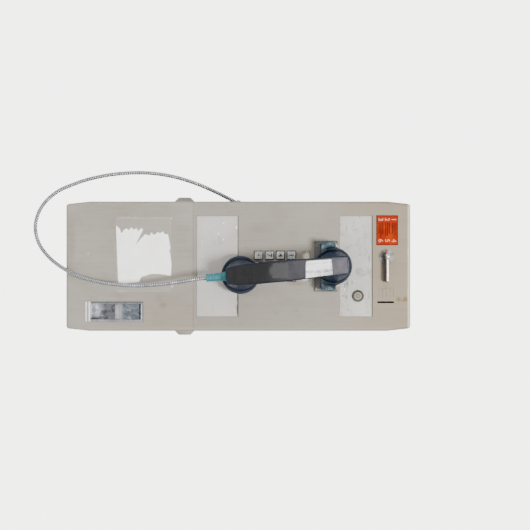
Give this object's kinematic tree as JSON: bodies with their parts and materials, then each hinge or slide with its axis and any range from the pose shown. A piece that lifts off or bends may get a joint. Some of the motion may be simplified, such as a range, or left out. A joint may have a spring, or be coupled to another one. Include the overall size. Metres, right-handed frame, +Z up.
{
  "type": "payphone",
  "caption": "Wall payphone with a centre cradle, metal keys, armoured cord, coin slot and release lever, coin return and lockable cash vault.",
  "frame": {"origin": "centre of the wall-bolt pattern on the rear face of the backplate", "axes": "+Z up, +Y into the wall, the front faces -Y, +X to the right as the user sees it"},
  "size_m": [0.2634, 0.217, 0.5949],
  "materials": {
    "housing_steel": "weathered satin brushed steel",
    "zinc_plated": "dull zinc plate",
    "galvanised": "mottled galvanised steel",
    "chrome": "polished chrome plate",
    "key_metal": "satin chrome with moulded figures",
    "panel": "worn light panel",
    "orange_label": "printed label",
    "paper_card": "yellowed card",
    "clear_lens": "clear lens",
    "black_plastic": "worn black moulding",
    "cap_plastic": "glossy black moulding",
    "dark_plastic": "black moulding",
    "olive_plastic": "faded button",
    "teal_rubber": "teal moulded sleeve",
    "conduit_steel": "wound stainless conduit",
    "board_green": "solder mask",
    "brass": "plain brass",
    "spring_steel": "oiled spring wire",
    "capsule": "plain capsule"
  },
  "bodies": {
    "root": {"backplate": "zinc_plated", "board_fixings": "zinc_plated", "circuit_board": "board_green", "upper_housing": "housing_steel", "lower_housing": "housing_steel", "upper_placard": "panel", "lower_placard": "panel", "instruction_label": "orange_label", "number_card": "paper_card", "number_lens": "clear_lens", "coin_acceptor": "brass", "coin_relay": "zinc_plated", "return_chute": "zinc_plated", "coin_return_frame": "galvanised", "coin_return_tray": "galvanised", "flap_pin": "zinc_plated", "vault_liner": "zinc_plated", "lever_bush": "chrome", "lever_spring": "spring_steel", "cradle_plate": "chrome", "hook_bracket": "zinc_plated", "hook_pin": "zinc_plated", "hook_switch": "dark_plastic", "hook_spring": "spring_steel", "keypad_frame": "dark_plastic", "keypad_board": "board_green", "volume_switch": "dark_plastic", "cord_gland": "conduit_steel", "armoured_cord": "conduit_steel", "housing_lock": "housing_steel", "vault_lock": "housing_steel"},
    "lever": {"release_lever": "chrome", "lever_arm": "zinc_plated"},
    "gate": {"acceptor_gate": "zinc_plated"},
    "hook": {"hook_fork": "chrome"},
    "volume": {"volume_button": "olive_plastic"},
    "return_flap": {"coin_return_flap": "galvanised"},
    "vane": {"relay_vane": "zinc_plated"},
    "door": {"vault_door": "housing_steel"},
    "cash": {"cash_box": "zinc_plated"},
    "housing_plug": {"housing_lock_plug": "brass"},
    "vault_plug": {"vault_lock_plug": "brass"},
    "handset": {"handset_shell": "black_plastic", "ear_cap": "cap_plastic", "mouth_cap": "cap_plastic", "receiver_unit": "capsule", "transmitter_unit": "capsule", "strain_relief": "teal_rubber"},
    "key_1_body": {"key_1": "key_metal"},
    "key_2_body": {"key_2": "key_metal"},
    "key_3_body": {"key_3": "key_metal"},
    "key_4_body": {"key_4": "key_metal"},
    "key_5_body": {"key_5": "key_metal"},
    "key_6_body": {"key_6": "key_metal"},
    "key_7_body": {"key_7": "key_metal"},
    "key_8_body": {"key_8": "key_metal"},
    "key_9_body": {"key_9": "key_metal"},
    "key_star_body": {"key_star": "key_metal"},
    "key_0_body": {"key_0": "key_metal"},
    "key_hash_body": {"key_hash": "key_metal"}
  },
  "joints": [
    {"name": "key_1_press", "type": "slide", "parent": "root", "child": "key_1_body", "axis": [0, 1, 0], "range_m": [0, 0.002], "stiffness_N_per_m": 150, "springref_m": -0.002},
    {"name": "key_2_press", "type": "slide", "parent": "root", "child": "key_2_body", "axis": [0, 1, 0], "range_m": [0, 0.002], "stiffness_N_per_m": 150, "springref_m": -0.002},
    {"name": "key_3_press", "type": "slide", "parent": "root", "child": "key_3_body", "axis": [0, 1, 0], "range_m": [0, 0.002], "stiffness_N_per_m": 150, "springref_m": -0.002},
    {"name": "key_4_press", "type": "slide", "parent": "root", "child": "key_4_body", "axis": [0, 1, 0], "range_m": [0, 0.002], "stiffness_N_per_m": 150, "springref_m": -0.002},
    {"name": "key_5_press", "type": "slide", "parent": "root", "child": "key_5_body", "axis": [0, 1, 0], "range_m": [0, 0.002], "stiffness_N_per_m": 150, "springref_m": -0.002},
    {"name": "key_6_press", "type": "slide", "parent": "root", "child": "key_6_body", "axis": [0, 1, 0], "range_m": [0, 0.002], "stiffness_N_per_m": 150, "springref_m": -0.002},
    {"name": "key_7_press", "type": "slide", "parent": "root", "child": "key_7_body", "axis": [0, 1, 0], "range_m": [0, 0.002], "stiffness_N_per_m": 150, "springref_m": -0.002},
    {"name": "key_8_press", "type": "slide", "parent": "root", "child": "key_8_body", "axis": [0, 1, 0], "range_m": [0, 0.002], "stiffness_N_per_m": 150, "springref_m": -0.002},
    {"name": "key_9_press", "type": "slide", "parent": "root", "child": "key_9_body", "axis": [0, 1, 0], "range_m": [0, 0.002], "stiffness_N_per_m": 150, "springref_m": -0.002},
    {"name": "key_star_press", "type": "slide", "parent": "root", "child": "key_star_body", "axis": [0, 1, 0], "range_m": [0, 0.002], "stiffness_N_per_m": 150, "springref_m": -0.002},
    {"name": "key_0_press", "type": "slide", "parent": "root", "child": "key_0_body", "axis": [0, 1, 0], "range_m": [0, 0.002], "stiffness_N_per_m": 150, "springref_m": -0.002},
    {"name": "key_hash_press", "type": "slide", "parent": "root", "child": "key_hash_body", "axis": [0, 1, 0], "range_m": [0, 0.002], "stiffness_N_per_m": 150, "springref_m": -0.002},
    {"name": "volume_press", "type": "slide", "parent": "root", "child": "volume", "axis": [0, 1, 0], "range_m": [0, 0.0016], "stiffness_N_per_m": 150, "springref_m": -0.002},
    {"name": "lever_turn", "type": "hinge", "parent": "root", "child": "lever", "pos_m": [-0.0152, -0.15, 0.2334], "axis": [0, 1, 0], "range_deg": [0, 35], "stiffness_Nm_per_rad": 0.3, "springref_deg": -17.19},
    {"name": "gate_slide", "type": "slide", "parent": "root", "child": "gate", "axis": [0, 0, -1], "range_m": [0, 0.0268]},
    {"name": "handset_lift", "type": "slide", "parent": "root", "child": "handset", "axis": [0, -0.4, 0.9165], "range_m": [0, 0.12]},
    {"name": "hook_raise", "type": "hinge", "parent": "root", "child": "hook", "pos_m": [0, -0.122, 0.134], "axis": [-1, 0, 0], "range_deg": [0, 9], "deforming": ["hook_spring"]},
    {"name": "flap_push", "type": "hinge", "parent": "root", "child": "return_flap", "pos_m": [0.0714, -0.1435, -0.157], "axis": [1, 0, 0], "range_deg": [0, 45], "stiffness_Nm_per_rad": 0.02, "springref_deg": -17.19},
    {"name": "vane_tip", "type": "hinge", "parent": "root", "child": "vane", "pos_m": [0.065, -0.09, 0.04], "axis": [0, 1, 0], "range_deg": [-20, 20], "stiffness_Nm_per_rad": 0.08},
    {"name": "door_slide", "type": "slide", "parent": "root", "child": "door", "axis": [1, 0, 0], "range_m": [0, 0.2]},
    {"name": "cash_slide", "type": "slide", "parent": "root", "child": "cash", "axis": [1, 0, 0], "range_m": [0, 0.16]},
    {"name": "housing_key_turn", "type": "hinge", "parent": "root", "child": "housing_plug", "pos_m": [-0.1, -0.075, -0.0874], "axis": [-1, 0, 0], "range_deg": [0, 90]},
    {"name": "vault_key_turn", "type": "hinge", "parent": "root", "child": "vault_plug", "pos_m": [0.1, -0.075, -0.0874], "axis": [1, 0, 0], "range_deg": [0, 90]}
  ],
  "couplings": [
    {"joint": "gate_slide", "follows": "lever_turn", "m_per_rad": 0.0434},
    {"joint": "hook_raise", "follows": "handset_lift", "rad_per_m": 1.3},
    {"joint": "cash_slide", "follows": "door_slide", "ratio": 0.8}
  ]
}
